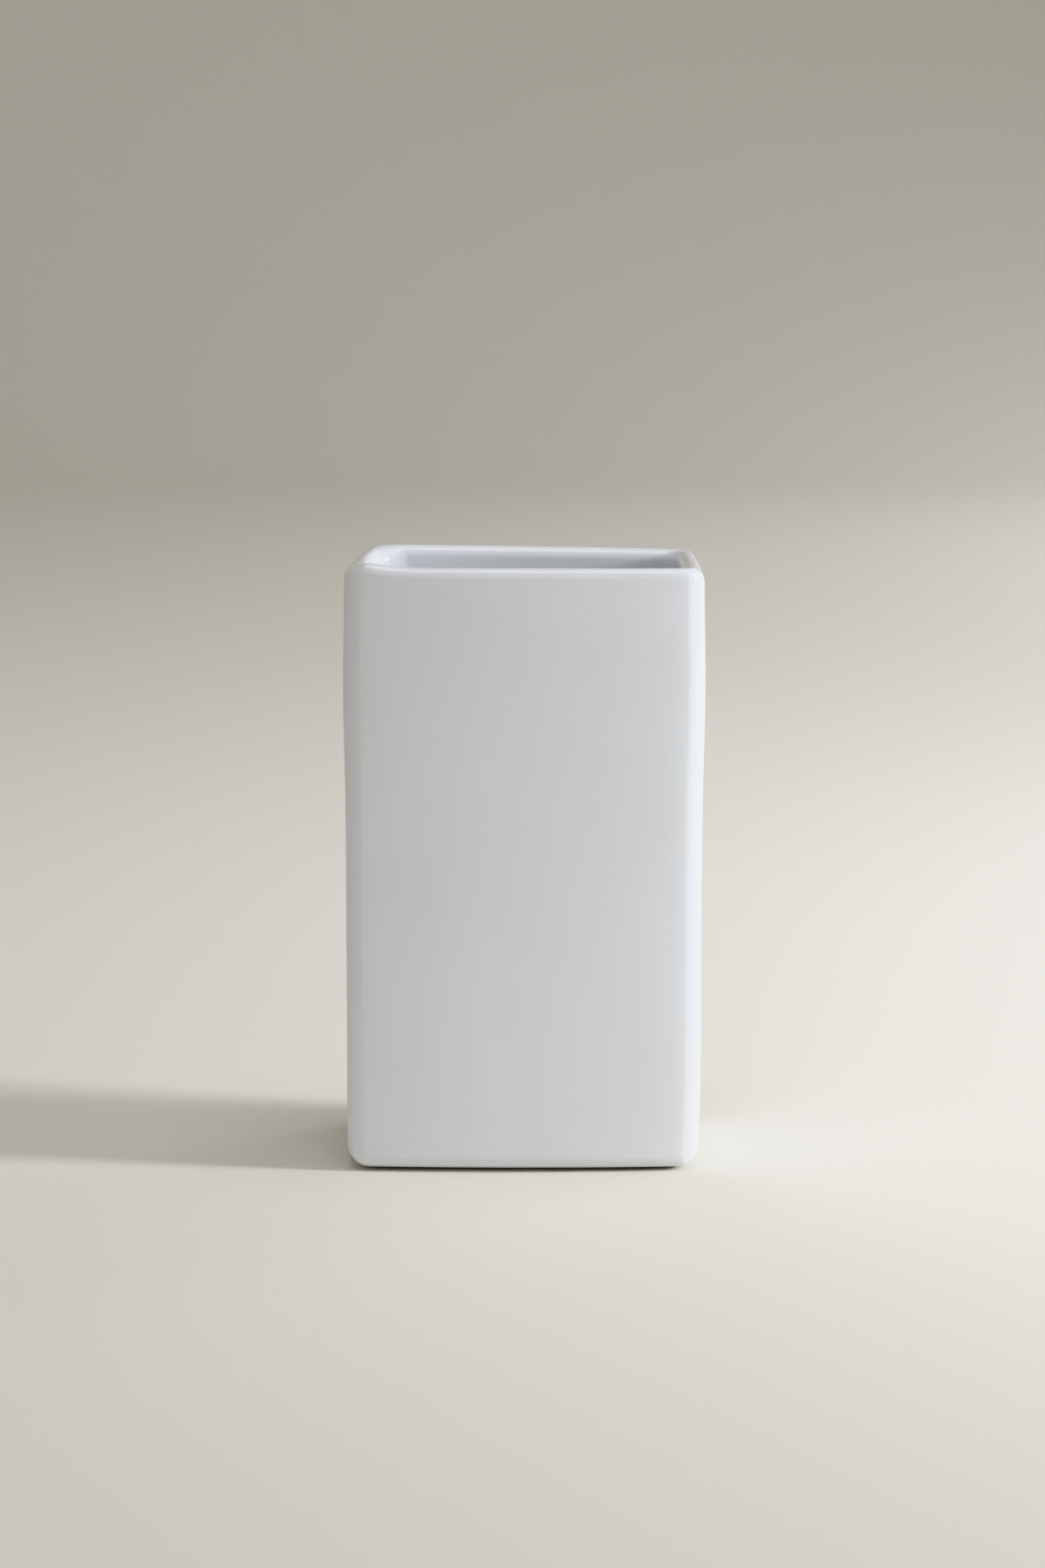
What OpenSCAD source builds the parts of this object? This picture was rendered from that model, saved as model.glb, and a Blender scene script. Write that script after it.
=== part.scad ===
// Toothbrush tumbler: a rectangular slip-cast cup in glazed ceramic.
// Units are millimetres. The origin is the middle of the footprint, on the
// surface that the cup stands on, with +Z up and the broad faces along X.
// The cup is an outer form less the form of its inside. Each form is one
// section that runs once round a rounded rectangle of its own, with a quarter
// turn at each corner and a straight run along each side. The inside has wider
// corners than the outer form leaves room for, because the cast clay gathers
// there, so the wall is thicker at the corners than along the faces. The clay
// and the glaze come from the same forms, set in by the thickness of the glaze.

/* [Cup] */
// Overall height, from the table to the top of the lip
cup_h = 110; // [85:1:140]
// Width of the broad faces, over the glaze
cup_w = 64.5; // [50:0.5:90]
// Depth from the front face to the back face, over the glaze
cup_d = 40; // [32:1:60]
// Radius of the four upright corners outside, over the glaze
corner_r = 5.5; // [4.5:0.5:8]
// Rounding of the lower edge, outside the foot
heel_r = 3.9; // [2:0.1:4.2]

/* [Wall] */
// Thickness of the wall along the faces, with its glaze on both sides
wall_t = 3.8; // [3.4:0.1:4.5]
// Radius of the four upright corners inside
inner_corner_r = 6; // [4.5:0.5:8]
// Rounding of the lip toward the outside
lip_outer_r = 2.8; // [2:0.1:2.8]
// Thickness of the floor inside the foot ring, with its glaze
floor_t = 4.2; // [3:0.1:8]
// Cove between the wall and the floor, inside the cup
cove_r = 3.8; // [1.5:0.1:4.4]

/* [Foot] */
// Distance from the outer face to the foot ring
foot_inset = 4.8; // [4.5:0.1:5.5]
// Width of the foot ring
foot_w = 2.6; // [1.5:0.1:2.8]
// Radius of the corners of the foot ring, on its outer side
foot_corner_r = 4; // [4:0.1:6]
// Height of the foot ring outside it, the gap seen under the cup
foot_h = 0.5; // [0.4:0.1:1.5]
// How much higher the recess goes inside the foot ring than the gap outside it
recess_step = 0.7; // [0.3:0.1:1.5]
// Rounding of the two lower edges of the foot ring
foot_edge_r = 0.4; // [0.2:0.05:0.6]

/* [Glaze] */
// Thickness of the glaze
glaze_t = 0.35; // [0.15:0.05:0.5]
// Bare strip between the edge of the glaze and the foot ring
glaze_stop = 0.5; // [0.2:0.1:1]

/* [Hidden] */
$fn = 72;

// How far a cut runs past the material that it removes
overrun = 1;
// How far the curve of a mouth rises past the rim, so that it crosses the rim
mouth_past = 0.06;
// Rounding of the lip toward the inside, which meets the outer one
lip_inner_r = wall_t - lip_outer_r;
// The inside of the cup, over its glaze
inner_w = cup_w - 2 * wall_t;
inner_d = cup_d - 2 * wall_t;
// The foot ring over its outer side
foot_out_w = cup_w - 2 * foot_inset;
foot_out_d = cup_d - 2 * foot_inset;
// The recess that the foot ring closes off
recess_w = foot_out_w - 2 * foot_w;
recess_d = foot_out_d - 2 * foot_w;
recess_corner_r = foot_corner_r - foot_w;
recess_h = foot_h + recess_step;
// The top of the floor inside the cup, and a height in the middle of its clay
floor_top = recess_h + floor_t;
floor_mid = recess_h + floor_t / 2;

// The waste outside a rounded corner of radius r that points to +X and +Y
module corner_waste(r) {
    difference() {
        square(r + overrun);
        circle(r);
    }
}

// A form in section, from a corner axis out to r, with both edges rounded
module form_section(r, height, low_r, top_r) {
    difference() {
        square([r, height]);
        translate([r - low_r, low_r])
            mirror([0, 1])
            corner_waste(low_r);
        translate([r - top_r, height - top_r])
            corner_waste(top_r);
    }
}

// A hollow in section, from a corner axis out to r. It is closed by a cove
// at the bottom, and opens at the height of depth through a rounded mouth.
module hollow_section(r, depth, cove, mouth) {
    difference() {
        square([r, depth + overrun]);
        translate([r - cove, cove])
            mirror([0, 1])
            corner_waste(cove);
    }
    translate([r + mouth, depth - mouth + mouth_past])
        mirror([1, 0])
        corner_waste(mouth);
}

// A solid w wide and d deep with upright corners of radius r. Its child is the
// section, drawn out from a corner axis, which is as high as the form there.
// The runs along the broad faces reach inward past the middle and fill it.
module form(w, d, r, height) {
    run_x = w - 2 * r;
    run_y = d - 2 * r;
    for (half_turn = [0, 180]) {
        rotate(half_turn) {
            translate([run_x / 2, run_y / 2, 0])
                rotate_extrude(angle = 90)
                children();
            translate([-run_x / 2, run_y / 2, 0])
                rotate(90)
                rotate_extrude(angle = 90)
                children();
            translate([run_x / 2, run_y / 2, 0])
                rotate([90, 0, 0])
                linear_extrude(run_y)
                children();
            translate([-run_x / 2, run_y / 2, 0])
                rotate([90, 0, 90])
                linear_extrude(run_x) {
                    children();
                    translate([-run_y / 2 - overrun, 0])
                        square([run_y / 2 + 2 * overrun, height]);
                }
        }
    }
}

// The outer form above the foot, set in by skin on every side
module outer_form(skin) {
    r = corner_r - skin;
    low = foot_h + skin;
    height = cup_h - skin - low;
    translate([0, 0, low])
        form(cup_w - 2 * skin, cup_d - 2 * skin, r, height)
            form_section(r, height, heel_r - skin, lip_outer_r - skin);
}

// The inside of the cup, moved into the clay by skin on every side
module inside_form(skin) {
    r = inner_corner_r + skin;
    low = floor_top - skin;
    depth = cup_h - skin - low;
    translate([0, 0, low])
        form(inner_w + 2 * skin, inner_d + 2 * skin, r, depth + overrun)
            hollow_section(r, depth, cove_r + skin, lip_inner_r - skin);
}

// A flat plate, w wide and d deep, with upright corners of radius r
module plate(w, d, r, thick) {
    linear_extrude(thick) {
        square([w, d - 2 * r], center = true);
        square([w - 2 * r, d], center = true);
        for (x = [r - w / 2, w / 2 - r], y = [r - d / 2, d / 2 - r])
            translate([x, y])
                circle(r);
    }
}

// Wall and floor without the foot. The skin is zero for the glazed surface,
// and the thickness of the glaze for the clay under it.
module vessel(skin) {
    difference() {
        outer_form(skin);
        inside_form(skin);
    }
}

// The foot as a block that reaches up into the clay of the floor
module foot_block() {
    form(foot_out_w, foot_out_d, foot_corner_r, floor_mid)
        form_section(foot_corner_r, floor_mid, foot_edge_r, foot_edge_r);
}

// The recess in the foot, which leaves the foot ring round it. It is the same
// kind of hollow upside down, and its cove is as wide as the bare strip.
module foot_recess() {
    depth = recess_h + glaze_t;
    translate([0, 0, depth])
        mirror([0, 0, 1])
        form(recess_w, recess_d, recess_corner_r, depth + overrun)
            hollow_section(recess_corner_r, depth, glaze_stop, foot_edge_r);
}

// The fired clay: walls, lip, floor and foot ring, left matt and bare
module ceramic_body() {
    color([0.93, 0.91, 0.87])
        difference() {
            union() {
                vessel(glaze_t);
                foot_block();
            }
            foot_recess();
        }
}

// The glaze over the outside, the lip and the whole inside, as one skin that
// ends under the heel, beside the foot ring
module glaze_coat() {
    bare_w = foot_out_w + 2 * glaze_stop;
    bare_d = foot_out_d + 2 * glaze_stop;
    color([0.90, 0.91, 0.93])
        difference() {
            vessel(0);
            vessel(glaze_t);
            plate(bare_w, bare_d, foot_corner_r + glaze_stop, floor_mid);
        }
}

// The glaze inside the recess of the foot, apart from the rest
module foot_recess_glaze() {
    patch_w = recess_w - 2 * glaze_stop;
    patch_d = recess_d - 2 * glaze_stop;
    color([0.86, 0.87, 0.89])
        translate([0, 0, recess_h])
        plate(patch_w, patch_d, recess_corner_r - glaze_stop, glaze_t);
}

ceramic_body();
glaze_coat();
foot_recess_glaze();
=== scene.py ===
# %% [markdown]
# # A glazed ceramic toothbrush tumbler
# The object is one rectangular cup, cast in clay, dipped in white glaze and
# fired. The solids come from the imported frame. This lesson gives them the
# surface that the kiln leaves: a wall that has settled a little, a wet-looking
# skin over it, and a bare foot. Everything is in metres.

# %% Load the fixed frame
import math

import bpy
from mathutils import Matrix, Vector, noise


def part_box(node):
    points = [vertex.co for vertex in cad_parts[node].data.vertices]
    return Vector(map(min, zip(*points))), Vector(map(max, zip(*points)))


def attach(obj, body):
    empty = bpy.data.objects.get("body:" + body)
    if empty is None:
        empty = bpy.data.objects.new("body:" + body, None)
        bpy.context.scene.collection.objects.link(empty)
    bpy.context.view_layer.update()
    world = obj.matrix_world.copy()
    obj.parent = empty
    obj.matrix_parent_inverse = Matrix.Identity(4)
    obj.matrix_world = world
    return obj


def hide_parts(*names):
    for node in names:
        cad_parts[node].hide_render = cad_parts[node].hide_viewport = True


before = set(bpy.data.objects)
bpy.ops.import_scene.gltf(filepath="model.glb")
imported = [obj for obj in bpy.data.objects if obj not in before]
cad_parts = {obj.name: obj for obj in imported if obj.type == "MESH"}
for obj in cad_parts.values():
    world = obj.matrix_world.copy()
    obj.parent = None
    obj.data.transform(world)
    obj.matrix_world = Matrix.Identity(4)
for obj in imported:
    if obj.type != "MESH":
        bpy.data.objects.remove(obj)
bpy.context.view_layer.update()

# %% [markdown]
# Every place below is worked out from the frame's own boxes, so the finish
# fits the solids. Only what a box can't tell, such as a radius, is written
# here as a real size of the cup. The corners and the broad faces' heel are a
# little tighter than on the solids, and the crest of the lip lies nearer the
# outside, because a cast cup comes out of its mould and kiln that way.

# %% Sizes of the cup
MM = 0.001

skin_low, skin_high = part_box("glaze_coat")
clay_low, clay_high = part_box("ceramic_body")
patch_low, patch_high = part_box("foot_recess_glaze")

half_w = skin_high.x
half_d = skin_high.y
cup_h = skin_high.z
glaze_t = skin_high.z - clay_high.z
foot_h = skin_low.z
recess_h = patch_low.z

# Upright corners, outside and inside
corner_r = 3.2 * MM
inner_corner_r = 3.0 * MM
# Wall, and how far in the crest of the lip lies, in general and at the left end
wall_t = 3.8 * MM
lip_r = 1.8 * MM
lip_r_left = 0.9 * MM
# Floor, and the cove that joins it to the wall
floor_t = 4.2 * MM
cove_r = 3.8 * MM
# Heel, at the two ends and on the broad faces
heel_r_ends = 3.9 * MM
heel_r_broad = 2.4 * MM
# Foot ring: how far inside the faces it lies, its width and its roundings
foot_inset = 4.8 * MM
foot_w = 2.6 * MM
foot_corner_r = 4.0 * MM
foot_edge_r = 0.4 * MM
# Bare strip between the edge of the glaze and the foot ring
glaze_stop = 0.5 * MM

floor_top = recess_h + floor_t
print("glaze is", round(glaze_t / MM, 2), "mm thick, the foot gap", round(foot_h / MM, 2))

# %% [markdown]
# The cup is one section of its wall, swept once round, as one plaster mould
# casts it. A bevelled box would be quicker, but it would give the lip, the
# heel and the corners one radius, and creases where they meet. A sweep gives
# an even grid that the later steps can bend.
#
# A point of the section says how deep it lies inside the outer face, how high,
# and its reach: how far inside the outer face the loop through it has its
# corner axes. The reach is short outside, where the corners are tight, and
# long inside, where the slip gathered.

# %% Arcs and lines of a section
# Steps of the lines between the arcs: underside, outside, inside and floor
LINE_STEPS = (3, 103, 100, 4)


def arc(deep, up, radius, start, end, steps):
    """Points round (deep, up) from one angle to another, in degrees."""
    points = []
    for k in range(steps + 1):
        angle = math.radians(start + (end - start) * k / steps)
        points.append((deep - radius * math.cos(angle), up + radius * math.sin(angle)))
    return points


def reaching(points, reach):
    """The same points, each with its reach."""
    return [(deep, up, reach) for deep, up in points]


def line(start, end, steps):
    """Points between two ends, which the arcs beside them hold already."""
    points = []
    for k in range(1, steps):
        points.append(tuple(Vector(start).lerp(Vector(end), k / steps)))
    return points


def joined(stretches):
    """One run of points through all the arcs, with lines between them."""
    points = list(stretches[0])
    for stretch, steps in zip(stretches[1:], LINE_STEPS):
        points += line(points[-1], stretch[0], steps)
        points += stretch
    return points


print("the outside is cut into steps of about", round(cup_h / LINE_STEPS[1] / MM, 2), "mm")

# %% [markdown]
# The lip is two arcs that meet at its crest, the outer one tighter than the
# inner one. One arc would be simpler, but it would put the crest in the middle
# of the wall. From the crest inward the reach grows evenly to that of the
# inside, so the lip is smooth at the corners too, where the inside turns round
# axes of its own.

# %% The wall from the heel to the floor
HEEL_STEPS = 16
LIP_OUT_STEPS = 16
LIP_IN_STEPS = 10
COVE_STEPS = 14
# Corner radius where the heel of an end meets the underside
heel_turn_r = 0.5 * MM
# Corner radius of the flat middle, which one face closes
middle_r = 0.6 * MM

inner_reach = wall_t + inner_corner_r
heel_reach = heel_r_ends + heel_turn_r


def round_the_heel(points, skin, heel):
    """From the underside outward, the reach shrinks to that of the outside."""
    found = []
    for deep, up in points:
        share = (deep - skin) / heel
        found.append((deep, up, corner_r + (heel_reach - corner_r) * share))
    return found


def over_the_lip(points, skin, crest):
    """From the crest of the lip inward, the reach grows to that of the inside."""
    found = []
    for deep, up in points:
        share = max(0.0, (deep - crest) / (wall_t - skin - crest))
        found.append((deep, up, corner_r + (inner_reach - corner_r) * share))
    return found


def vessel_section(skin, heel_r, crest):
    """The surface of the vessel, moved into the clay by skin."""
    top = cup_h - skin
    low = foot_h + skin
    inner = wall_t - skin
    floor = floor_top - skin
    lip_out = crest - skin
    lip_in = wall_t - crest - skin
    heel = heel_r - skin
    cove = cove_r + skin
    under = arc(skin + heel, low + heel, heel, -90, 0, HEEL_STEPS)
    lip = arc(skin + lip_out, top - lip_out, lip_out, 0, 90, LIP_OUT_STEPS)
    lip += arc(inner - lip_in, top - lip_in, lip_in, 90, 180, LIP_IN_STEPS)[1:]
    hollow = arc(inner + cove, floor + cove, cove, 0, -90, COVE_STEPS)
    return [
        round_the_heel(under, skin, heel),
        over_the_lip(lip, skin, crest),
        reaching(hollow, inner_reach),
        [(inner_reach - middle_r, floor, inner_reach)],
    ]


print("the lip is", round((wall_t - lip_r) / MM, 2), "mm wide inside its crest")

# %% [markdown]
# The glaze runs from its stop beside the foot, round the heel, up the
# outside, over the lip, down the inside and across the floor. Its lower edge
# is a small bead, because melted glass pulls into a round edge where it ends.
# There are three sections, for the right end, the left end and the broad
# faces. The heel is rounder at the ends, and at the left end the crest of the
# lip lies nearer the outside, where it was sponged thin.

# %% The sections of the glaze
EDGE_STEPS = 5
# Heel and crest of the lip at the right end, the left end and the broad faces
SIDES = ((heel_r_ends, lip_r), (heel_r_ends, lip_r_left), (heel_r_broad, lip_r))

foot_reach = foot_inset + foot_corner_r
bead_deep = foot_inset - glaze_stop - glaze_t
bead_arc = arc(bead_deep, foot_h + glaze_t, glaze_t, 180, 270, EDGE_STEPS)
bead = reaching(bead_arc, foot_reach)
glaze_sections = [joined([bead, *vessel_section(0.0, *side)]) for side in SIDES]
print("a glaze section has", len(glaze_sections[0]), "points")

# %% [markdown]
# The clay under it follows the same section, set in by the thickness of the
# glaze, and adds the foot ring that the cup stands on. Both edges of the ring
# are rounded, because they are wiped with a wet sponge before the firing.

# %% The sections of the clay
STOP_STEPS = 6

clay_roof = recess_h + glaze_t
ring_in = foot_inset + foot_w
patch_edge = ring_in + glaze_stop
foot_ring = [
    (foot_reach - middle_r, clay_roof),
    *arc(patch_edge, clay_roof - glaze_stop, glaze_stop, 90, 0, STOP_STEPS),
    *arc(ring_in - foot_edge_r, foot_edge_r, foot_edge_r, 180, 270, EDGE_STEPS),
    *arc(foot_inset + foot_edge_r, foot_edge_r, foot_edge_r, 270, 360, EDGE_STEPS),
    (foot_inset, foot_h + glaze_t),
]
foot_points = reaching(foot_ring, foot_reach)
clay_sections = [joined([foot_points, *vessel_section(glaze_t, *side)]) for side in SIDES]
print("a clay section has", len(clay_sections[0]), "points")

# %% [markdown]
# The patch of glaze in the recess is as thick as the rest in its middle, and
# thins to a round edge, as a pool of melted glass does. It is the same on
# every side, so one section serves for all three.

# %% The sections of the patch in the recess
patch_middle_r = 0.15 * MM

patch_round = arc(patch_edge + glaze_t, clay_roof, glaze_t, -90, 0, STOP_STEPS)
patch_points = reaching([(foot_reach - patch_middle_r, recess_h), *patch_round], foot_reach)
patch_sections = [patch_points] * len(SIDES)
print("a patch section has", len(patch_points), "points")

# %% [markdown]
# A section is swept round the cup through stations: a fan of them at each
# corner and a run of them along each straight side. A station says which
# corner axis it starts from, how far along the side to the next corner it
# lies, and in which direction it points. Two stations would do for a straight
# side, but the sides are bent later, so they have one every 1.2 mm.

# %% Stations round the cup
CORNER_STEPS = 24
SIDE_SPACING = 1.2 * MM
CORNERS = ((1, 1), (-1, 1), (-1, -1), (1, -1))


def stations():
    """(corner, next corner, way, direction), counter-clockwise from above."""
    found = []
    for number, corner in enumerate(CORNERS):
        after = CORNERS[(number + 1) % len(CORNERS)]
        for k in range(CORNER_STEPS + 1):
            angle = math.radians(90 * (number + k / CORNER_STEPS))
            direction = (math.cos(angle), math.sin(angle))
            found.append((corner, after, 0.0, direction))
        length = 2 * (half_w if corner[0] != after[0] else half_d)
        steps = round(length / SIDE_SPACING)
        for k in range(1, steps):
            found.append((corner, after, k / steps, direction))
    return found


ring = stations()
print(len(ring), "stations round the cup")

# %% [markdown]
# At a corner the section passes from that of the end to that of the broad
# face. The square of the direction's part along Y does this without a kink,
# because it is flat where it leaves the end and where it reaches the face. Each
# point is then set out from the corner axis of its own loop.

# %% Set a section up at a station
def section_at(station, sections):
    """The section of a station, between that of its end and that of the faces."""
    right, left, broad = sections
    direction = station[3]
    end = left if direction[0] < 0 else right
    share = direction[1] ** 2
    return [tuple(Vector(a).lerp(Vector(b), share)) for a, b in zip(end, broad)]


def placed(station, point):
    """Where a point of the section lies at a station, before the firing."""
    corner, after, way, direction = station
    deep, up, reach = point
    side_x = corner[0] + (after[0] - corner[0]) * way
    side_y = corner[1] + (after[1] - corner[1]) * way
    x = side_x * (half_w - reach) + direction[0] * (reach - deep)
    y = side_y * (half_d - reach) + direction[1] * (reach - deep)
    return Vector((x, y, up))


def inside_share(point):
    """0 outside the cup and on its underside, and 1 on its inner wall."""
    deep, up, reach = point
    if up < clay_roof:
        return 0.0
    return min(1.0, max(0.0, (reach - corner_r) / (inner_reach - corner_r)))


heights = [up for deep, up, reach in section_at(ring[0], glaze_sections)]
print("the first station reaches up to", round(max(heights) / MM, 2), "mm")

# %% [markdown]
# The faces of the mould are a little fuller in the middle, and they turn
# toward the corners more and more before the corner itself begins. Near the
# lip the back left corner is drawn in along the face, and more slip has stayed
# in it inside. The walls at the two ends are a little thicker than the others.
# Each is a pull toward the middle of the cup that grows with a power of the
# way out. A lattice could do the same, but a power has one size to set.

# %% How full the mould is
# How far the middle of a broad face and of an end stands out, and the clay
# that the walls at the ends have more
face_bow = 1.27 * MM
side_bow = 0.4 * MM
side_wall_extra = 0.4 * MM
# How much further a broad face turns back just before its corners
corner_ease_left = 0.27 * MM
corner_ease_right = 0.70 * MM
EASE_POWER = 11
# The back left corner: how much less it turns back, how far it is drawn in,
# and how much more clay lies in it inside
back_left_full = 1.35 * MM
back_left_round = 3.46 * MM
back_left_fill = 7.2 * MM
BACK_LEFT_POWER = 4
# Shares of the height from which that corner changes, and over which
BACK_LEFT_FROM_SHARE = 0.5
BACK_LEFT_OVER_SHARE = 0.4


def rising(value, start, span):
    """Rises smoothly from 0 at the start to 1 at the end of the span."""
    t = min(1.0, max(0.0, (value - start) / span))
    return t * t * (3 - 2 * t)


def bowed(point, inside):
    """The point on fuller faces. Inside goes from 0 outside to 1 on the inner wall."""
    x, y, z = point
    across = abs(x) / half_w
    along = abs(y) / half_d
    ease = corner_ease_right if x > 0 else corner_ease_left
    pull_x = side_bow * along ** 2 + side_wall_extra * inside
    if x < 0 and y > 0:
        ease -= back_left_full
        high = rising(z / cup_h, BACK_LEFT_FROM_SHARE, BACK_LEFT_OVER_SHARE)
        drawn_in = back_left_round + back_left_fill * inside
        pull_x += drawn_in * high * along ** BACK_LEFT_POWER
    pull_y = face_bow * across ** 2 + ease * across ** EASE_POWER
    return Vector((x * (1 - pull_x / half_w), y * (1 - pull_y / half_d), z))


print("the front right corner stands back by", round((face_bow + corner_ease_right) / MM, 2), "mm")

# %% [markdown]
# A cast cup never leaves the kiln as true as its mould. Here the lip stands
# high at the front left and falls toward the right, and it rolls down at both
# ends, most at the left. The rim could be moved by hand in Edit Mode, but a
# formula keeps it smooth, and each movement can be changed alone.

# %% How the kiln moved the lip
# How far each part of the lip moves at the most
lip_sink = 0.27 * MM
back_fall = 0.51 * MM
front_fall = 0.11 * MM
front_left_rise = 1.45 * MM
back_left_sink = 0.54 * MM
left_roll = 2.8 * MM
right_roll = 1.1 * MM
# Shares of the half width, from which a part of the lip moves and over which
RISE_FROM_SHARE = 0.6
RISE_OVER_SHARE = 0.5
SINK_FROM_SHARE = 0.7
SINK_OVER_SHARE = 0.25
# The outermost share that rolls down, and the power by which it does
LEFT_ROLL_SHARE = 0.141
RIGHT_ROLL_SHARE = 0.1
LEFT_ROLL_POWER = 1.4
RIGHT_ROLL_POWER = 2


def rolled(out, share, power):
    """How far an end has rolled down, for a place at the share out of the half width."""
    return max(0.0, (out - (1 - share)) / share) ** power


def lip_lift(across, back):
    """How far the lip has risen. Back goes from 0 at the front to 1 at the back."""
    lift = -lip_sink - (back_fall * back + front_fall * (1 - back)) * across
    lift += front_left_rise * (1 - back) * rising(-across, RISE_FROM_SHARE, RISE_OVER_SHARE)
    lift -= back_left_sink * back * rising(-across, SINK_FROM_SHARE, SINK_OVER_SHARE)
    lift -= left_roll * rolled(-across, LEFT_ROLL_SHARE, LEFT_ROLL_POWER)
    return lift - right_roll * rolled(across, RIGHT_ROLL_SHARE, RIGHT_ROLL_POWER)


left_lift = lip_lift(LEFT_ROLL_SHARE - 1, 0.0)
right_lift = lip_lift(1 - RIGHT_ROLL_SHARE, 0.0)
print("the front lip moved by", round(left_lift / MM, 2), "mm at its left")
print("and by", round(right_lift / MM, 2), "mm at its right")

# %% [markdown]
# Both ends swell below the lip, the right one has a belly over a tucked-in
# heel, the top leans, and the broad faces wave by a few hundredths of a
# millimetre. The foot stays flat, as the cup stands on it. The wave is a noise
# that depends on the place alone, so the cup is the same in every run.

# %% How the kiln moved the wall
# How far the wall moves, at what height, and how far up and down from there
top_lean = 0.155 * MM
side_swell = 0.37 * MM
swell_up = 88 * MM
swell_reach = 15 * MM
right_belly = 0.12 * MM
belly_up = 22 * MM
belly_reach = 14 * MM
# The tuck reaches as far up and down as it lies above the table
right_tuck = 0.21 * MM
tuck_up = 4.5 * MM
# Height of the wave on the faces, and its length
face_wave = 0.08 * MM
wave_length = 38 * MM
# The lowest share of the height, where the foot holds the wall, and the highest
# share, which moves with the lip
HELD_SHARE = 0.25
LIP_SHARE = 0.45


def bulge(z, middle, reach):
    """1 at the height of middle, and less the farther from it."""
    return math.exp(-(((z - middle) / reach) ** 2))


def settled(point):
    """Where a point of the cast cup lies after firing."""
    x, y, z = point
    across = x / half_w
    free = rising(z, foot_h, HELD_SHARE * cup_h)
    high = rising(z, (1 - LIP_SHARE) * cup_h, LIP_SHARE * cup_h)
    back = rising(y, -half_d, 2 * half_d)
    wave = noise.noise(point / wave_length) * face_wave
    out = free * side_swell * bulge(z, swell_up, swell_reach) * across
    if x > 0:
        out += right_belly * bulge(z, belly_up, belly_reach) * across
        out -= right_tuck * bulge(z, tuck_up, tuck_up) * across
    lean = top_lean * rising(z, 0.0, cup_h)
    return Vector((x + lean + out, y + free * wave, z + high * lip_lift(across, back)))


swollen = settled(Vector((half_w, 0.0, swell_up)))
print("the right end stands out by", round((swollen.x - half_w) / MM, 2), "mm below the lip")

# %% [markdown]
# The sweep makes a grid of quads and closes the flat middle with one face.
# Where a section starts on the underside it can have a middle there too. A
# curve with a bevel could sweep one section, but not three that blend.

# %% Sweep a section into a mesh
def grid_faces(rows, count):
    """Quads between each station and the next, all the way round."""
    faces = []
    for i in range(count):
        j = (i + 1) % count
        for k in range(rows - 1):
            faces.append((i * rows + k, j * rows + k, j * rows + k + 1, i * rows + k + 1))
    return faces


def swept_mesh(name, sections, close_start, close_end):
    """A smooth piece, made by the sections on their way round all the stations."""
    vertices = []
    for station in ring:
        for point in section_at(station, sections):
            cast = bowed(placed(station, point), inside_share(point))
            vertices.append(settled(cast))
    rows = len(sections[0])
    count = len(ring)
    faces = grid_faces(rows, count)
    if close_start:
        faces.append([i * rows for i in reversed(range(count))])
    if close_end:
        faces.append([i * rows + rows - 1 for i in range(count)])
    mesh = bpy.data.meshes.new(name)
    mesh.from_pydata(vertices, [], faces)
    mesh.update()
    mesh.shade_smooth()
    piece = bpy.data.objects.new(name, mesh)
    bpy.context.scene.collection.objects.link(piece)
    print(name, "has", len(mesh.polygons), "faces")
    return piece


# %% [markdown]
# Three pieces take the places of the three solids: the glaze, the clay and the
# patch. They could be one mesh with three materials, but the glaze is a layer
# with a thickness of its own, and its edge beside the foot shows that.

# %% Make the glaze, the clay and the patch
fired_glaze = swept_mesh("fired_glaze", glaze_sections, False, True)
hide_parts("glaze_coat")
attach(fired_glaze, "root")

fired_clay = swept_mesh("fired_clay", clay_sections, True, True)
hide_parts("ceramic_body")
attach(fired_clay, "root")

fired_patch = swept_mesh("fired_patch", patch_sections, True, False)
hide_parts("foot_recess_glaze")
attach(fired_patch, "root")

# %% [markdown]
# Materials are node trees. Three small helpers keep them short: one turns an
# sRGB hex colour into the linear numbers that a shader works with, one adds a
# node with its settings and its links, and one starts an empty material.

# %% Helpers for materials
def linear(hex_colour):
    """An sRGB hex colour as linear red, green, blue and alpha."""
    parts = [int(hex_colour[i:i + 2], 16) / 255 for i in (1, 3, 5)]
    # The sRGB curve is a straight line for the darkest colours
    low = [c / 12.92 for c in parts]
    high = [((c + 0.055) / 1.055) ** 2.4 for c in parts]
    return [low[i] if parts[i] <= 0.04045 else high[i] for i in range(3)] + [1.0]


def add(tree, kind, settings=None, **inputs):
    """Adds a node. Settings are its properties. An input has the name of its
    socket, with _ for a space, or the socket's number, such as _6."""
    made = tree.nodes.new(kind)
    for key, value in (settings or {}).items():
        setattr(made, key, value)
    for key, value in inputs.items():
        label = key.replace("_", " ").strip()
        socket = made.inputs[int(label) if label.isdigit() else label]
        if isinstance(value, bpy.types.NodeSocket):
            tree.links.new(value, socket)
        else:
            socket.default_value = value
    return made


def new_material(name):
    """An empty node material, its tree and its output node."""
    material = bpy.data.materials.new(name)
    material.use_nodes = True
    material.node_tree.nodes.clear()
    output = material.node_tree.nodes.new("ShaderNodeOutputMaterial")
    return material, material.node_tree, output


print("mid grey is", round(linear("#808080")[0], 3), "in linear light")

# %% [markdown]
# The glaze is a glossy white tin glaze, dipped and fired. It ran down a little
# while it was melted, so it lies in soft upright bands, and in broad clouds
# where the clay drank more or less. Where it lies thin its white is a shade
# warmer. An image could be painted for this, but a noise has no seam.

# %% Where the glaze lies thin
RUN_WIDTH = 9 * MM
CLOUD_WIDTH = 28 * MM
# A noise on heights shrunk to this share draws bands that much longer
RUN_SHARE = 0.12


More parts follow.
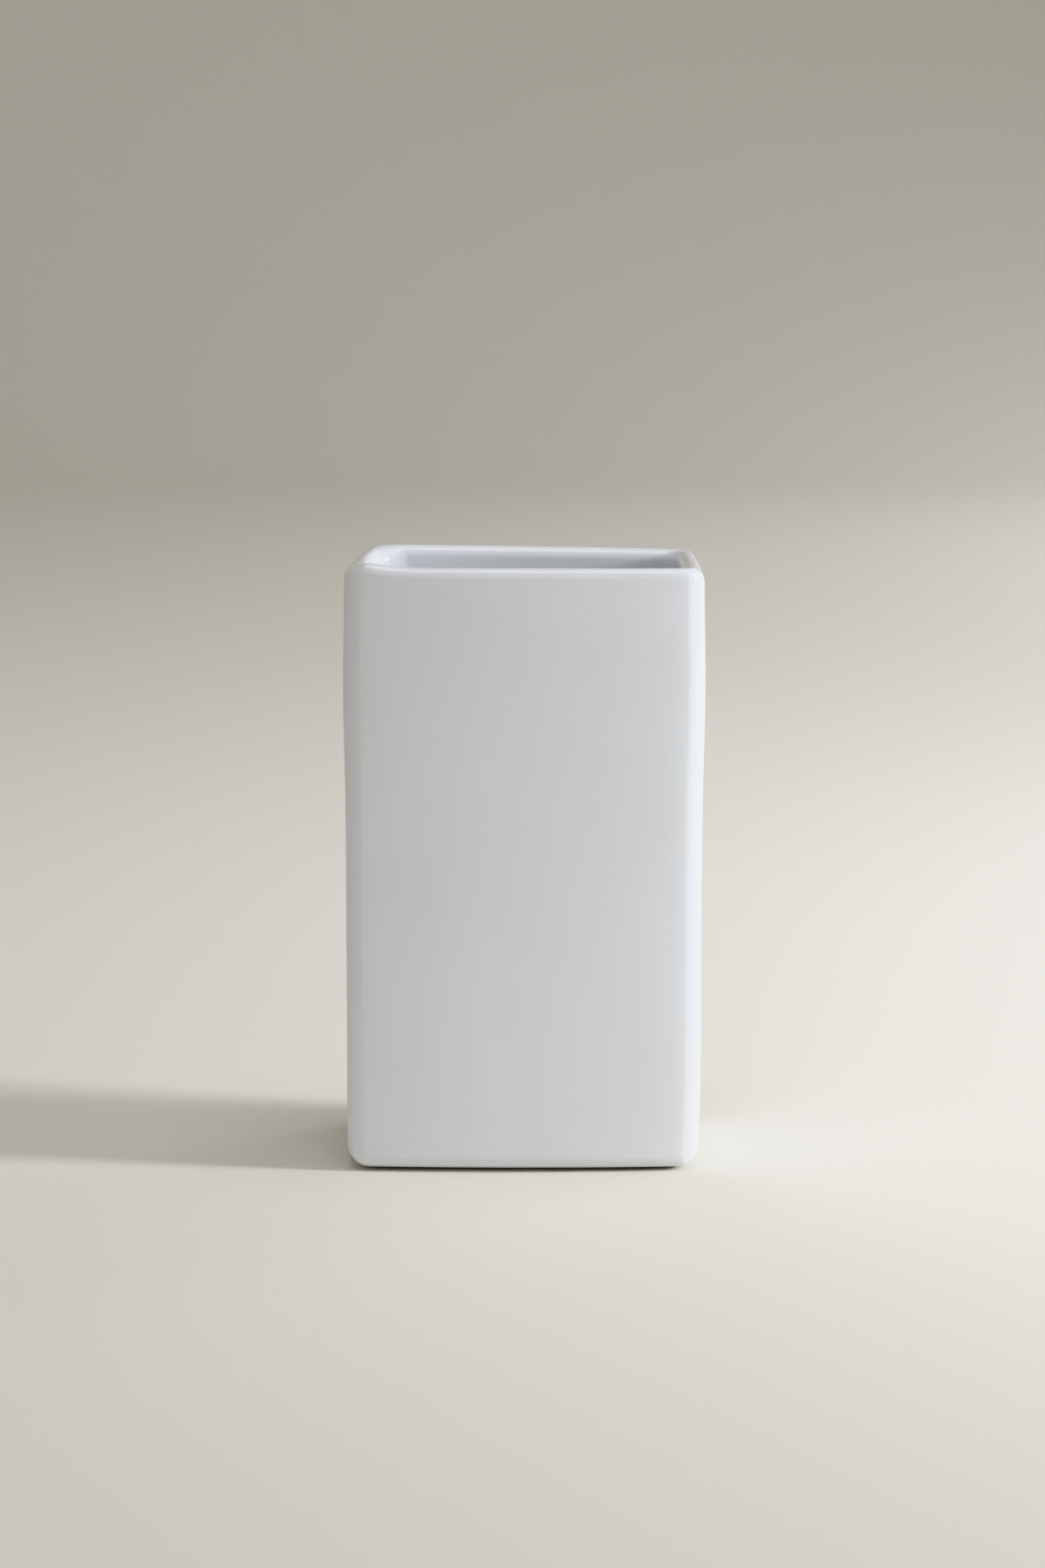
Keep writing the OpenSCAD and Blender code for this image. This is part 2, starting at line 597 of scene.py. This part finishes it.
def run_space(tree, place):
    """Places with their heights shrunk, for patterns that run down the wall."""
    return add(tree, "ShaderNodeMapping", Vector=place, Scale=(1.0, 1.0, RUN_SHARE)).outputs[0]


def thin_glaze(tree, runs, clouds):
    """0 where the glaze lies thick, and 1 where it lies thin."""
    bands = add(
        tree, "ShaderNodeTexNoise", Vector=runs,
        Scale=1 / RUN_WIDTH, Detail=2.0, Roughness=0.45,
    )
    both = add(
        tree, "ShaderNodeMath", {"operation": "MULTIPLY_ADD"},
        _0=bands.outputs["Fac"], _1=0.5, _2=clouds,
    )
    # The sum lies round 0.75, so this range takes in nearly all of the glaze
    thin = add(
        tree, "ShaderNodeMapRange", Value=both.outputs["Value"],
        From_Min=0.55, From_Max=0.95, To_Min=0.0, To_Max=1.0,
    )
    return thin.outputs["Result"]


print("a run is about", round(RUN_WIDTH / RUN_SHARE / MM), "mm long")

# %% [markdown]
# Gas that left the clay late has left a few pinholes. Cells of a fixed width
# have one point each, and a pinhole sits at the point in one cell of five.
# They could be modelled, but would need a far finer mesh than all the rest.
# Each is a shallow bump, and its bottom is painted dark brown: painted shade,
# for the shade that falls in the pit.

# %% Pinholes
PINHOLE_SPACING = 7 * MM
PINHOLE_SHARE = 0.2
# Radius of the bottom of a pinhole, painted dark as shade, and of its soft rim
PINHOLE_R = 0.084 * MM
PINHOLE_RIM_R = 0.182 * MM


def pinholes(tree, place):
    """1 in a pinhole, and 0 elsewhere."""
    cells = add(
        tree, "ShaderNodeTexVoronoi", {"feature": "F1"},
        Vector=place, Scale=1 / PINHOLE_SPACING, Randomness=1.0,
    )
    hole = add(
        tree, "ShaderNodeMapRange", {"interpolation_type": "SMOOTHSTEP"},
        Value=cells.outputs["Distance"], From_Min=PINHOLE_R / PINHOLE_SPACING,
        From_Max=PINHOLE_RIM_R / PINHOLE_SPACING, To_Min=1.0, To_Max=0.0,
    )
    draw = add(tree, "ShaderNodeSeparateColor", Color=cells.outputs["Color"])
    chosen = add(
        tree, "ShaderNodeMath", {"operation": "GREATER_THAN"},
        _0=draw.outputs["Red"], _1=1 - PINHOLE_SHARE,
    )
    pinhole = add(
        tree, "ShaderNodeMath", {"operation": "MULTIPLY"},
        _0=hole.outputs["Result"], _1=chosen.outputs["Value"],
    )
    return pinhole.outputs["Value"]


print("a pinhole is", round(2 * PINHOLE_RIM_R / MM, 2), "mm wide at its rim")

# %% [markdown]
# Melted glass levels itself, so the gloss is clear, but three kinds of relief
# are left: a faint orange peel, the sag of the runs, and the pits. They are
# too shallow for the mesh, so they are bumps, each with its real depth.

# %% Relief of the glaze
PEEL_WIDTH = 2.2 * MM
SAG_WIDTH = 14 * MM
PEEL_DEPTH = 0.004 * MM
SAG_DEPTH = 0.06 * MM
PIT_DEPTH = 0.05 * MM


def glaze_relief(tree, place, runs, pits):
    """The normal of the glaze, with orange peel, sag and pits."""
    peel = add(tree, "ShaderNodeTexNoise", Vector=place, Scale=1 / PEEL_WIDTH, Detail=2.0)
    sag = add(tree, "ShaderNodeTexNoise", Vector=runs, Scale=1 / SAG_WIDTH, Detail=1.0)
    peel_bump = add(
        tree, "ShaderNodeBump", Height=peel.outputs["Fac"], Distance=PEEL_DEPTH, Strength=1.0,
    )
    sag_bump = add(
        tree, "ShaderNodeBump", Height=sag.outputs["Fac"], Distance=SAG_DEPTH, Strength=1.0,
        Normal=peel_bump.outputs["Normal"],
    )
    pit_bump = add(
        tree, "ShaderNodeBump", {"invert": True}, Height=pits, Distance=PIT_DEPTH, Strength=1.0,
        Normal=sag_bump.outputs["Normal"],
    )
    return pit_bump.outputs["Normal"]


print("the sag of the runs is", round(SAG_DEPTH / MM, 2), "mm deep")

# %% [markdown]
# A fired glaze is glass, so its IOR is that of glass, 1.52, and it is smooth,
# with a roughness of 0.09 to 0.15 that changes with the clouds. The eye sees
# an even white, with a clear highlight along each rounding. The glaze in the
# recess has pooled, and is a shade darker.

# %% The fired glaze
# Dark brown painted into the pinholes: painted shade in the pits
PINHOLE_PAINTED_SHADE = "#6f6861"


def tin_glaze(name, white, thin_white):
    """Glossy white glaze with runs, clouds, orange peel, and pinholes with painted shade in them.
    """
    material, tree, output = new_material(name)
    place = add(tree, "ShaderNodeTexCoord").outputs["Object"]
    cloud_noise = add(tree, "ShaderNodeTexNoise", Vector=place, Scale=1 / CLOUD_WIDTH, Detail=3.0)
    clouds = cloud_noise.outputs["Fac"]
    runs = run_space(tree, place)
    pits = pinholes(tree, place)
    body = add(
        tree, "ShaderNodeMix", {"data_type": "RGBA"},
        _0=thin_glaze(tree, runs, clouds), _6=linear(white), _7=linear(thin_white),
    )
    # The pinholes are painted dark brown, as painted shade in the pits
    colour = add(
        tree, "ShaderNodeMix", {"data_type": "RGBA"},
        _0=pits, _6=body.outputs[2], _7=linear(PINHOLE_PAINTED_SHADE),
    )
    gloss = add(
        tree, "ShaderNodeMapRange", Value=clouds,
        From_Min=0.3, From_Max=0.7, To_Min=0.09, To_Max=0.15,
    )
    shader = add(
        tree, "ShaderNodeBsdfPrincipled", Base_Color=colour.outputs[2], IOR=1.52,
        Roughness=gloss.outputs["Result"], Normal=glaze_relief(tree, place, runs, pits),
    )
    tree.links.new(shader.outputs["BSDF"], output.inputs["Surface"])
    print(name, "has", len(tree.nodes), "nodes")
    return material


fired_glaze.data.materials.append(tin_glaze("white_tin_glaze", "#ebeef3", "#e9eaec"))
fired_patch.data.materials.append(tin_glaze("pooled_tin_glaze", "#e6e9ee", "#e4e5e6"))

# %% [markdown]
# The foot is bare stoneware, wiped clean before the firing. It is matt and
# warm, with the grain of the clay and a few darker iron specks. Real grain is
# finer, near 0.1 mm, and is drawn coarser here so that it shows.

# %% The bare foot
CLAY_PATCH_WIDTH = 6 * MM
GRAIN_WIDTH = 0.35 * MM
GRAIN_DEPTH = 0.03 * MM


def biscuit_stoneware(name):
    """Matt fired clay with grain and iron specks."""
    material, tree, output = new_material(name)
    place = add(tree, "ShaderNodeTexCoord").outputs["Object"]
    patches = add(
        tree, "ShaderNodeTexNoise", Vector=place, Scale=1 / CLAY_PATCH_WIDTH, Detail=4.0,
    )
    grain = add(tree, "ShaderNodeTexNoise", Vector=place, Scale=1 / GRAIN_WIDTH, Detail=3.0)
    warm = add(
        tree, "ShaderNodeMix", {"data_type": "RGBA"},
        _0=patches.outputs["Fac"], _6=linear("#e3dacb"), _7=linear("#cfc3b1"),
    )
    # Only the highest grains of the noise become specks
    speck = add(
        tree, "ShaderNodeMapRange", {"interpolation_type": "SMOOTHSTEP"},
        Value=grain.outputs["Fac"], From_Min=0.66, From_Max=0.74, To_Min=0.0, To_Max=0.7,
    )
    colour = add(
        tree, "ShaderNodeMix", {"data_type": "RGBA"},
        _0=speck.outputs["Result"], _6=warm.outputs[2], _7=linear("#8f8070"),
    )
    bump = add(
        tree, "ShaderNodeBump", Height=grain.outputs["Fac"], Distance=GRAIN_DEPTH, Strength=1.0,
    )
    shader = add(
        tree, "ShaderNodeBsdfPrincipled", Base_Color=colour.outputs[2],
        Roughness=0.82, IOR=1.5, Normal=bump.outputs["Normal"],
    )
    tree.links.new(shader.outputs["BSDF"], output.inputs["Surface"])
    print(name, "has", len(tree.nodes), "nodes")
    return material


fired_clay.data.materials.append(biscuit_stoneware("biscuit_stoneware"))

# %% [markdown]
# The cup stands on a pale sweep: a floor that curves up into a wall behind,
# so that no line shows between them. It is only a stage and not part of the
# object.

# %% The pale sweep
SWEEP_HALF = 2.2
SWEEP_FRONT = -1.6
SWEEP_TOP = 2.2
CURVE_AT = 1.3
CURVE_R = 0.6
CURVE_STEPS = 24


def sweep_points():
    """The sweep from the side: floor, curve and wall, as (y, z) pairs."""
    points = [(SWEEP_FRONT, 0.0), (CURVE_AT, 0.0)]
    for k in range(1, CURVE_STEPS + 1):
        angle = math.radians(90 * k / CURVE_STEPS)
        points.append((CURVE_AT + CURVE_R * math.sin(angle), CURVE_R * (1 - math.cos(angle))))
    points.append((CURVE_AT + CURVE_R, SWEEP_TOP))
    return points


side_view = sweep_points()
sweep_vertices = []
for y, z in side_view:
    sweep_vertices.append((-SWEEP_HALF, y, z))
    sweep_vertices.append((SWEEP_HALF, y, z))
sweep_faces = []
for k in range(len(side_view) - 1):
    sweep_faces.append((2 * k, 2 * k + 1, 2 * k + 3, 2 * k + 2))
sweep_mesh = bpy.data.meshes.new("pale_sweep")
sweep_mesh.from_pydata(sweep_vertices, [], sweep_faces)
sweep_mesh.shade_smooth()
pale_sweep = bpy.data.objects.new("pale_sweep", sweep_mesh)
bpy.context.scene.collection.objects.link(pale_sweep)
print("the sweep has", len(sweep_faces), "faces")

# %% [markdown]
# The sweep is a roll of matt background paper, rough and without a highlight.
# It is one even, warm white, so that all the shading on it comes from the light.

# %% The paper of the sweep
paper, paper_tree, paper_output = new_material("matt_paper")
paper_shader = add(
    paper_tree, "ShaderNodeBsdfPrincipled", Base_Color=linear("#e8e4da"), Roughness=0.9,
)
paper_tree.links.new(paper_shader.outputs["BSDF"], paper_output.inputs["Surface"])
sweep_mesh.materials.append(paper)
print(paper.name, "is on", pale_sweep.name)

# %% [markdown]
# All the lights are rectangles, like the softboxes of a studio. A smaller one
# draws a sharper shadow. A limited spread keeps its light off what lies beside
# the target, as a honeycomb in front of a softbox does.

# %% One soft light
def area_light(name, place, target, size, power, colour, spread=180):
    """A soft rectangular light at a place, aimed at a target. Spread is in degrees."""
    data = bpy.data.lights.new(name, "AREA")
    data.shape = "RECTANGLE"
    data.size = size[0]
    data.size_y = size[1]
    data.energy = power
    data.color = linear(colour)[:3]
    data.spread = math.radians(spread)
    lamp = bpy.data.objects.new(name, data)
    lamp.location = place
    aim = Vector(target) - Vector(place)
    lamp.rotation_euler = aim.to_track_quat("-Z", "Y").to_euler()
    bpy.context.scene.collection.objects.link(lamp)
    print(name, "is", round(aim.length, 2), "m from what it lights")


# %% [markdown]
# A small softbox stands to the right, low and a little toward the camera. It
# brightens the right edge and draws the long shadow to the left, whose length
# and slant set its place. A soft panel above fills the lip and the inside, and
# a large one behind the camera fills the broad face.

# %% The lights on the cup
key_distance = 0.85
key_toward_camera = math.radians(10)
key_height = math.radians(17)

middle = Vector((0, 0, cup_h / 2))
key_place = middle + key_distance * Vector((
    math.cos(key_height) * math.cos(key_toward_camera),
    -math.cos(key_height) * math.sin(key_toward_camera),
    math.sin(key_height),
))
area_light(
    "key_softbox", place=key_place, target=middle,
    size=(0.11, 0.13), power=5.35, colour="#f4f9ff",
)
area_light(
    "top_panel", place=(0.0, -0.1, 1.2), target=middle,
    size=(0.7, 0.7), power=3.35, colour="#f8f9ff",
)
area_light(
    "front_panel", place=(0.0, -2.2, 0.95), target=middle,
    size=(2.5, 1.7), power=4.7, colour="#dcedff",
)

# %% [markdown]
# A long strip brightens the floor behind the cup, and a narrow lamp the floor
# at its right. Both have a limited spread, to leave the cup as it is. The rest
# is the even light of a pale room, from the world.

# %% The lights on the floor, and the room
area_light(
    "floor_strip", place=(0.75, 0.90, 0.40), target=(0.4, 0.90, 0.0),
    size=(0.9, 0.2), power=2.1, colour="#eff3ff", spread=120,
)
area_light(
    "floor_fill", place=(0.9, -0.1, 0.5), target=(0.5, 0.1, 0.0),
    size=(0.3, 0.3), power=1.2, colour="#ecf2ff", spread=60,
)

world = bpy.data.worlds.new("pale_room")
bpy.context.scene.world = world
world.use_nodes = True
room_light = world.node_tree.nodes["Background"]
room_light.inputs["Color"].default_value = linear("#fff9f0")
room_light.inputs["Strength"].default_value = 0.33
print(len(bpy.data.lights), "lights stand in", world.name)

# %% [markdown]
# The camera stands square to the broad face, above the lip, and looks down
# by about nine and a half degrees, so that a sliver of the inside shows. The
# 36 mm of its sensor lie along the height of the picture, which is the longer
# side. The lens is a long one, so the far rim is nearly as wide as the near one.

# %% Camera
lens_mm = 95.319
sensor_mm = 36.0
sees_as_far_as = 20.0
camera_side = -0.16 * MM
camera_back = 0.7285
camera_up = 0.1928
camera_down = math.radians(9.4647)

camera_data = bpy.data.cameras.new("camera")
camera_data.lens = lens_mm
camera_data.sensor_width = sensor_mm
camera_data.clip_end = sees_as_far_as
camera = bpy.data.objects.new("camera", camera_data)
camera.location = (camera_side, -half_d - camera_back, camera_up)
camera.rotation_euler = (math.pi / 2 - camera_down, 0.0, 0.0)
bpy.context.scene.collection.objects.link(camera)
bpy.context.scene.camera = camera
print("the camera stands", round((camera_up - cup_h) / MM, 1), "mm above the lip")

# %% [markdown]
# The picture is developed with a curve that keeps pale whites and their hues
# as the materials give them. A filmic curve would turn a white glaze grey. A
# twentieth of a stop more exposure sets the white where it should be.

# %% How the picture is developed
view = bpy.context.scene.view_settings
view.view_transform = "Khronos PBR Neutral"
view.look = "None"
view.exposure = 0.05
print("exposure is", round(view.exposure, 2), "stops")
